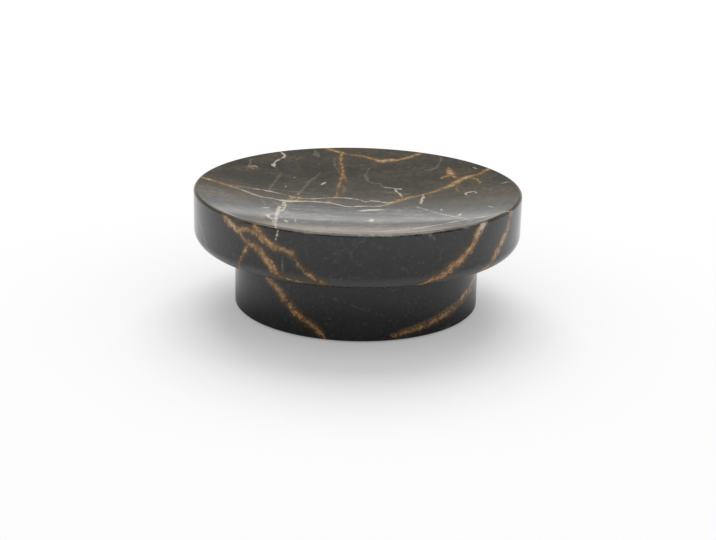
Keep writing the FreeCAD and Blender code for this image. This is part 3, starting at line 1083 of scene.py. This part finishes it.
# %% Colour the gold
GRAIN_SIZE, STRETCH_SIZE = 0.75, 3.0
EDGE_GRAIN, EDGE_STRETCH = 0.45, 0.70
CORE_GRAIN, CORE_STRETCH = 0.70, 0.80
STAIN_BROWN = (0.115, 0.062, 0.022, 1)
STAIN_EDGE, STAIN_LEAST, STAIN_COVER = (-2.0, 0.1), 0.15, 0.62
BLOTCH_SIZE, BLOTCH_LIMITS = 4.0, (0.36, 0.58)
GOLD_RAMP = [
    (0.05, (0.080, 0.034, 0.011, 1)),
    (0.32, (0.195, 0.088, 0.021, 1)),
    (0.58, (0.345, 0.182, 0.054, 1)),
    (0.84, (0.510, 0.325, 0.140, 1)),
    (1.00, (0.620, 0.460, 0.275, 1)),
]
GOLD_PER_MM = 0.32
GOLD_EDGE = (-0.30, 0.25)
ISLAND_SIZE, ISLAND_LIMITS, ISLAND_LEAST = 1.7, (0.34, 0.44), 0.25


def swing(bench, noise, reach):
    """A noise turned into a swing about zero."""
    return bench.math("MULTIPLY_ADD", noise, 2 * reach, -reach)


def lay_stain(bench, place, colour, edge):
    """Brown that iron has left in the ground beside a gold vein, in blotches."""
    blotch = bench.noise(place, BLOTCH_SIZE, detail=3.0, distortion=0.6)
    blotch = bench.fade(blotch, *BLOTCH_LIMITS, STAIN_LEAST, STAIN_COVER)
    stain = bench.math("MULTIPLY", bench.fade(edge, *STAIN_EDGE), blotch)
    return bench.blend(stain, colour, STAIN_BROWN)


def lay_gold(bench, place, colour, depth, edge, grainy, bleach):
    """Gold over a colour, from rust at the border to sand inside. Bleach makes it paler."""
    gold = bench.node("ShaderNodeValToRGB")
    for position, _ in GOLD_RAMP[1:-1]:
        gold.color_ramp.elements.new(position)
    for element, (position, tone) in zip(gold.color_ramp.elements, GOLD_RAMP):
        element.position = position
        element.color = tone
    core = bench.math("ADD", bench.math("MULTIPLY_ADD", depth, GOLD_PER_MM, bleach), grainy)
    bench.feed(gold.inputs["Fac"], core)
    islands = bench.noise(place, ISLAND_SIZE, detail=3.0, distortion=0.8)
    islands = bench.fade(islands, *ISLAND_LIMITS, ISLAND_LEAST, 1.0)
    filled = bench.math("MULTIPLY", bench.fade(edge, *GOLD_EDGE), islands)
    return bench.blend(filled, colour, gold.outputs["Color"])


print("gold, from border to middle:", [tuple(round(v, 2) for v in tone[:3]) for _, tone in GOLD_RAMP])

# %% [markdown]
# Cream veins are cleaner, smoke lets the ground through, and small flecks stay dim because they are too
# thin to reach their full colour. All of it lies under one polish. It needs no coat: the stone's own
# refraction makes the mirror, and a little wear and fine pits keep it from looking like glass.

# %% Colour the other tones and polish
SPECK_GREY = (0.16, 0.155, 0.14, 1)
SMOKE = (0.255, 0.220, 0.165, 1)
SMOKE_EDGE, SMOKE_COVER = (-0.45, 0.45), 0.55
SMOKE_GRAIN_LIMITS, SMOKE_THINNEST = (0.34, 0.60), 0.45
CREAM_TAN = (0.230, 0.175, 0.112, 1)
CREAM_WHITE = (0.660, 0.590, 0.470, 1)
CREAM_EDGE, CREAM_PER_MM, CREAM_START = (-0.25, 0.25), 0.8, 0.45
FLECK_WHITE = (0.660, 0.620, 0.500, 1)
FLECK_EDGE = (-0.10, 0.55)
STONE_IOR = 1.58
POLISH_ROUGHNESS, POLISH_WEAR = 0.035, 0.02
WEAR_SIZE, WEAR_LIMITS = 14.0, (0.35, 0.7)
PIT_SIZE, PIT_STRENGTH, PIT_DEPTH = 0.6, 0.01, 0.0002


def lay_smoke(bench, colour, edge, grain):
    """A thin film over a colour, thinner on some grains."""
    film = bench.fade(edge, *SMOKE_EDGE, 0.0, SMOKE_COVER)
    film = bench.math("MULTIPLY", film, bench.fade(grain, *SMOKE_GRAIN_LIMITS, SMOKE_THINNEST, 1.0))
    return bench.blend(film, colour, SMOKE)


def lay_cream(bench, colour, depth, edge, grainy):
    """Calcite over a colour, tan at the border and cream inside."""
    clean = bench.math("ADD", bench.math("MULTIPLY_ADD", depth, CREAM_PER_MM, CREAM_START), grainy)
    cream = bench.blend(bench.fade(clean, 0.0, 1.0), CREAM_TAN, CREAM_WHITE)
    return bench.blend(bench.fade(edge, *CREAM_EDGE), colour, cream)


def polish(bench, place, colour):
    """Ends a stone's material with a polish that is a little worn, over fine pits."""
    wear = bench.noise(place, WEAR_SIZE, detail=3.0)
    pits = bench.noise(place, PIT_SIZE, detail=2.0)
    bump = bench.node("ShaderNodeBump", {"Strength": PIT_STRENGTH, "Distance": PIT_DEPTH, "Height": pits})
    shader = bench.node("ShaderNodeBsdfPrincipled")
    shader.inputs["IOR"].default_value = STONE_IOR
    roughness = bench.fade(wear, *WEAR_LIMITS, POLISH_ROUGHNESS, POLISH_ROUGHNESS + POLISH_WEAR)
    bench.feed(shader.inputs["Base Color"], colour)
    bench.feed(shader.inputs["Roughness"], roughness)
    bench.feed(shader.inputs["Normal"], bump.outputs["Normal"])
    bench.node("ShaderNodeOutputMaterial", {"Surface": shader.outputs["BSDF"]})


def finish_marble(bench, place, ground, depths, bleach):
    """Lays the veins over the ground, tone by tone, and polishes the stone."""
    grain = bench.noise(place, GRAIN_SIZE, detail=3.0, roughness=0.65)
    stretch = bench.noise(place, STRETCH_SIZE, detail=2.0, distortion=0.5)
    ragged = bench.math("ADD", swing(bench, grain, EDGE_GRAIN), swing(bench, stretch, EDGE_STRETCH))
    edges = {tone: bench.math("ADD", depth, ragged) for tone, depth in depths.items()}
    grainy = bench.math("ADD", swing(bench, grain, CORE_GRAIN), swing(bench, stretch, CORE_STRETCH))
    pale = bench.math("MAXIMUM", specks(bench, place), hair_cracks(bench, place))
    colour = bench.blend(pale, ground, SPECK_GREY)
    colour = lay_smoke(bench, colour, edges["smoke"], grain)
    colour = lay_stain(bench, place, colour, edges["gold"])
    colour = lay_gold(bench, place, colour, depths["gold"], edges["gold"], grainy, bleach)
    colour = lay_cream(bench, colour, depths["cream"], edges["cream"], grainy)
    colour = bench.blend(bench.fade(edges["fleck"], *FLECK_EDGE), colour, FLECK_WHITE)
    polish(bench, place, colour)


print(f"seen straight on, the polish mirrors {((STONE_IOR - 1) / (STONE_IOR + 1)) ** 2:.1%} of the light")

# %% [markdown]
# On the dish, the rim's rounding is split along its middle: inside that line the bowl's veins hold, and
# outside it the wall's. The bowl's lighter ground runs on over the rounding. The lower rounding is painted
# greyer: a painted reflection of the bright table below it. On the pedestal the chamfer is the line between
# the wall and the sole. Gold is palest in the bowl and deepest on the pedestal, so each face has its own
# bleach.

# %% Dress both stones
RIM_BLEND = 0.5
# The lower rounding's grey is a painted reflection of the bright table below it.
PAINTED_REFLECTION_GREY = (0.080, 0.079, 0.080, 1)
PAINTED_REFLECTION_FULL, PAINTED_REFLECTION_UNTIL = DISH_UNDERSIDE + UNDERSIDE_ROUND / 2, DISH_UNDERSIDE + UNDERSIDE_ROUND
DISH_MOTTLE, PEDESTAL_MOTTLE = 1.0, 0.75
BOWL_BLEACH, WALL_BLEACH, PEDESTAL_BLEACH = 0.36, 0.34, 0.24


def dish_marble():
    """The dish's stone: the bowl inside the middle of the rim's rounding, and the wall outside it."""
    material, bench = new_material("dish_marble")
    place = millimetres(bench)
    shivered = wandering(bench, place)
    out = bench.math("SUBTRACT", way_out(bench, place), rim_centre[0])
    up = bench.math("SUBTRACT", bench.axes(place)[2], rim_centre[1])
    inward = bench.math("SUBTRACT", up, out)
    in_bowl = bench.math("GREATER_THAN", inward, 0.0)
    depths = vein_depths(
        bench, "dish", shivered, DISH_RADIUS, in_bowl, onto_the_bowl,
        BOWL_VEINS, DISH_FRONT_VEINS, DISH_BACK_VEINS,
    )
    bowl_share = bench.fade(inward, -RIM_ROUND, -RIM_ROUND + RIM_BLEND)
    wall = wall_ground(bench, place, DISH_MOTTLE)
    # The lower rounding is painted grey: a painted reflection of the table.
    painted_reflection = bench.fade(bench.axes(place)[2], PAINTED_REFLECTION_FULL, PAINTED_REFLECTION_UNTIL, 1.0, 0.0)
    wall = bench.blend(painted_reflection, wall, PAINTED_REFLECTION_GREY)
    ground = bench.blend(bowl_share, wall, bowl_ground(bench, place, shivered))
    finish_marble(bench, place, ground, depths, bench.pick(in_bowl, WALL_BLEACH, BOWL_BLEACH))
    return material


def pedestal_marble():
    """The pedestal's stone: the sole inside the foot's chamfer, and the wall above it."""
    material, bench = new_material("pedestal_marble")
    place = millimetres(bench)
    shivered = wandering(bench, place)
    inset = bench.math("SUBTRACT", PEDESTAL_RADIUS, way_out(bench, place))
    up = bench.math("SUBTRACT", bench.axes(place)[2], PEDESTAL_BOTTOM)
    on_sole = bench.math("GREATER_THAN", inset, up)
    depths = vein_depths(
        bench, "pedestal", shivered, PEDESTAL_RADIUS, on_sole, as_drawn,
        SOLE_VEINS, PEDESTAL_FRONT_VEINS, PEDESTAL_BACK_VEINS,
    )
    finish_marble(bench, place, wall_ground(bench, place, PEDESTAL_MOTTLE), depths, PEDESTAL_BLEACH)
    return material


for stone, marble in ((dish_stone, dish_marble()), (pedestal_stone, pedestal_marble())):
    dress(stone, marble)
    print(f"{stone.name} wears {marble.name}, of {len(marble.node_tree.nodes)} nodes")

# %% [markdown]
# ## Resin and silicone
# The resin in the joint is tinted to the stone and shows as a thin dark line, raked back from the face.
# The bumpers are frosted silicone, which is dull and slightly cloudy. Both are plain colours with soft
# clouds, and a finer noise varies their sheen.

# %% Mix the resin and the silicone
RESIN_DARK, RESIN_LIGHT = (0.012, 0.010, 0.008, 1), (0.034, 0.028, 0.022, 1)
RESIN_LUMP, RESIN_ROUGHNESS = 3.0, 0.35
SILICONE_DARK, SILICONE_LIGHT = (0.55, 0.55, 0.53, 1), (0.66, 0.66, 0.64, 1)
SILICONE_LUMP, SILICONE_ROUGHNESS = 2.0, 0.55
SHEEN_LIMITS, SHEEN_SWING, GRAINS_PER_LUMP = (0.3, 0.7), 0.06, 8


def cloudy(name, lump_size, dark, light, roughness):
    """A plain material with soft clouds between two near colours."""
    material, bench = new_material(name)
    place = millimetres(bench)
    clouds = bench.noise(place, lump_size, detail=3.0)
    shader = bench.node("ShaderNodeBsdfPrincipled")
    bench.feed(shader.inputs["Base Color"], bench.blend(clouds, dark, light))
    grain = bench.noise(place, lump_size / GRAINS_PER_LUMP)
    sheen = bench.fade(grain, *SHEEN_LIMITS, roughness - SHEEN_SWING, roughness + SHEEN_SWING)
    bench.feed(shader.inputs["Roughness"], sheen)
    bench.node("ShaderNodeOutputMaterial", {"Surface": shader.outputs["BSDF"]})
    return material


tinted_resin = cloudy("tinted_resin", RESIN_LUMP, RESIN_DARK, RESIN_LIGHT, RESIN_ROUGHNESS)
dress(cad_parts["resin_bed"], tinted_resin)
frosted_silicone = cloudy(
    "frosted_silicone", SILICONE_LUMP, SILICONE_DARK, SILICONE_LIGHT, SILICONE_ROUGHNESS
)
for bumper in silicone_bumpers:
    dress(bumper, frosted_silicone)
print("materials:", sorted(material.name for material in bpy.data.materials))

# %% [markdown]
# ## The stage
# A polished stone shows its surroundings, so the stage is part of the look. The table is white paper. To
# the eye it has a faint glow of its own, so that it reads as white and still keeps the dish's shadow. To
# the polish the glow leaves out the shadow in front.

# %% Lay the table
FLOOR_RADIUS = 4.0
FLOOR_STEPS = 96
FLOOR_LEVEL = -0.0001  # a hair under the soles, so that no two faces coincide
PAPER_WHITE = (0.90, 0.90, 0.90, 1)
EYE_GLOW, MIRRORED_GLOW = 0.26, 0.22
SHADOW_MIDDLE = (0, -0.05, 0)
GLOW_FROM, GLOW_FULL = 0.08, 0.17


def seen_rays(bench):
    """Rays of the eye, and rays of the polish or of glass: neither of them carries light about."""
    rays = bench.node("ShaderNodeLightPath").outputs
    return rays["Is Camera Ray"], bench.math("MAXIMUM", rays["Is Glossy Ray"], rays["Is Transmission Ray"])


bpy.ops.object.select_all(action="DESELECT")
bpy.ops.mesh.primitive_circle_add(
    vertices=FLOOR_STEPS, radius=FLOOR_RADIUS, fill_type="NGON", location=(0, 0, FLOOR_LEVEL)
)
floor = bpy.context.object
floor.name = "floor"
paper, paper_bench = new_material("white_paper")
paper.cycles.emission_sampling = "NONE"
paper_shader = paper_bench.node("ShaderNodeBsdfDiffuse", {"Color": PAPER_WHITE})
on_paper = paper_bench.node("ShaderNodeTexCoord").outputs["Object"]
from_shadow = paper_bench.vector("DISTANCE", on_paper, SHADOW_MIDDLE, result="Value")
mirrored_glow = paper_bench.fade(from_shadow, GLOW_FROM, GLOW_FULL, 0.0, MIRRORED_GLOW)
by_eye, by_polish = seen_rays(paper_bench)
mirrored_glow = paper_bench.math("MULTIPLY", by_polish, mirrored_glow)
glow_strength = paper_bench.math("MULTIPLY_ADD", by_eye, EYE_GLOW, mirrored_glow)
paper_glow = paper_bench.node("ShaderNodeEmission", {"Strength": glow_strength})
paper_layers = {0: paper_shader.outputs["BSDF"], 1: paper_glow.outputs["Emission"]}
paper_sum = paper_bench.node("ShaderNodeAddShader", paper_layers)
paper_bench.node("ShaderNodeOutputMaterial", {"Surface": paper_sum.outputs["Shader"]})
dress(floor, paper)
print(f"{floor.name}: {2 * FLOOR_RADIUS:.0f} m across")

# %% [markdown]
# A softbox hangs behind and above. In the bowl its image would have hard edges, so mirrored rays don't
# see the lamp itself, and a soft skylight in the room stands in for it there.

# %% Hang the softbox
LAMP_ELEVATION = math.radians(54)
LAMP_DISTANCE = 6.0
LAMP_SIDE = 4.8
LAMP_POWER = 190.0

to_lamp = Vector((0, math.cos(LAMP_ELEVATION), math.sin(LAMP_ELEVATION)))
bpy.ops.object.light_add(type="AREA", location=to_lamp * LAMP_DISTANCE)
lamp = bpy.context.object
lamp.name = "softbox_behind"
lamp.rotation_euler = to_lamp.to_track_quat("Z", "Y").to_euler()
lamp.data.shape = "SQUARE"
lamp.data.size = LAMP_SIDE
lamp.data.energy = LAMP_POWER
lamp.visible_glossy = False
print(f"{lamp.name}: {LAMP_SIDE} m wide, {LAMP_DISTANCE} m away")

# %% [markdown]
# The room is what the polish mirrors. Far behind the table stand pale panels with darker gaps between
# them, and above them the room darkens, so the front of the bowl is bright and striped and its back is
# dark. The camera's side is darker. Overhead a skylight brightens softly, and the rounding of the rim
# catches its light. A great sphere carries that picture, and only mirrored rays see it.

# %% Build the mirrored room
ROOM_RADIUS = 20.0
ROOM_SEGMENTS, ROOM_RINGS = 64, 32
CAMERA_SIDE_SHARE = 0.35
LIT_FROM, LIT_FULL = -0.25, 0.15
WALL_GLOW = [
    (0, 0.72), (0.8, 0.60), (1.4, 0.78), (2.5, 0.72), (3.1, 0.70), (3.7, 0.56), (4.3, 0.50), (5.6, 0.50),
    (6.2, 0.64), (6.7, 0.88), (7.5, 1.00), (8.2, 0.98), (8.8, 0.85), (9.6, 0.77), (10.3, 0.64), (11.6, 0.60),
    (12.4, 0.52), (13.5, 0.53), (15, 0.49), (17, 0.37), (19, 0.33), (25, 0.29), (28, 0.38), (50, 0.40),
    (90, 0.30),
]
BRIGHTEST_WALL, BRIGHTEST_SKYLIGHT = 1.0, 2.4
SKYLIGHT_GLOW = [(0, 0.0), (34, 0.0), (62, BRIGHTEST_SKYLIGHT), (90, BRIGHTEST_SKYLIGHT)]
SKYLIGHT_FULL, SKYLIGHT_UNTIL = 0.40, 0.76
WARM_WHITE, PLAIN_WHITE, DUSTY_WHITE = (1.11, 1.0, 0.90, 1), (1, 1, 1, 1), (1.05, 1.0, 0.88, 1)
WARM_UNTIL, PLAIN_FROM = math.sin(math.radians(3)), math.sin(math.radians(6))
PLAIN_UNTIL, DUSTY_FROM = math.sin(math.radians(12)), math.sin(math.radians(14))

bpy.ops.object.select_all(action="DESELECT")
bpy.ops.mesh.primitive_uv_sphere_add(
    segments=ROOM_SEGMENTS, ring_count=ROOM_RINGS, radius=ROOM_RADIUS, location=(0, 0, RIM_TOP * MM)
)
room = bpy.context.object
room.name = "mirrored_room"
for kind in ("camera", "diffuse", "transmission", "volume_scatter", "shadow"):
    setattr(room, "visible_" + kind, False)
walls, walls_bench = new_material("room_walls")
walls.cycles.emission_sampling = "NONE"
outward = walls_bench.vector("NORMALIZE", walls_bench.node("ShaderNodeTexCoord").outputs["Object"])
aside, behind, rise = walls_bench.axes(outward)


def glow_by_height(heights, brightest):
    """Radiance that changes with elevation, by straight steps between a few given heights."""
    curve = walls_bench.node("ShaderNodeFloatCurve", {"Value": walls_bench.held(rise)})
    set_curve(curve, [(math.sin(math.radians(degrees)), glow / brightest) for degrees, glow in heights])
    for point in curve.mapping.curves[0].points:
        point.handle_type = "VECTOR"
    curve.mapping.update()
    return walls_bench.math("MULTIPLY", curve.outputs["Value"], brightest)


lit_side = walls_bench.fade(behind, LIT_FROM, LIT_FULL, CAMERA_SIDE_SHARE, 1.0)
strength = walls_bench.math("MULTIPLY", glow_by_height(WALL_GLOW, BRIGHTEST_WALL), lit_side)
skylight = walls_bench.fade(walls_bench.math("ABSOLUTE", aside), SKYLIGHT_FULL, SKYLIGHT_UNTIL, 1.0, 0.0)
skylight = walls_bench.math("MULTIPLY", glow_by_height(SKYLIGHT_GLOW, BRIGHTEST_SKYLIGHT), skylight)
strength = walls_bench.math("ADD", strength, skylight)
warmth = walls_bench.blend(walls_bench.fade(rise, WARM_UNTIL, PLAIN_FROM), WARM_WHITE, PLAIN_WHITE)
warmth = walls_bench.blend(walls_bench.fade(rise, PLAIN_UNTIL, DUSTY_FROM), warmth, DUSTY_WHITE)
shine = walls_bench.node("ShaderNodeEmission", {"Color": warmth, "Strength": strength})
walls_bench.node("ShaderNodeOutputMaterial", {"Surface": shine.outputs["Emission"]})
dress(room, walls)
print(f"{room.name}: {len(WALL_GLOW)} heights of wall and {len(SKYLIGHT_GLOW)} of skylight")

# %% [markdown]
# The world gives light from all round. To the eye it is plain white, like the table, and as light it is
# weaker, so that the stone's colours render about as they are written.

# %% Light the world
ROOM_LIGHT = 0.58

world = bpy.data.worlds.new("white_room")
bpy.context.scene.world = world
world.use_nodes = True
world.node_tree.nodes.clear()
world_bench = Bench(world.node_tree)
background = world_bench.node("ShaderNodeBackground")
seen = world_bench.math("MAXIMUM", *seen_rays(world_bench))
world_bench.feed(background.inputs["Strength"], world_bench.pick(seen, ROOM_LIGHT, 1.0))
world_bench.node("ShaderNodeOutputWorld", {"Surface": background.outputs["Background"]})
print("the world's light:", ROOM_LIGHT)

# %% [markdown]
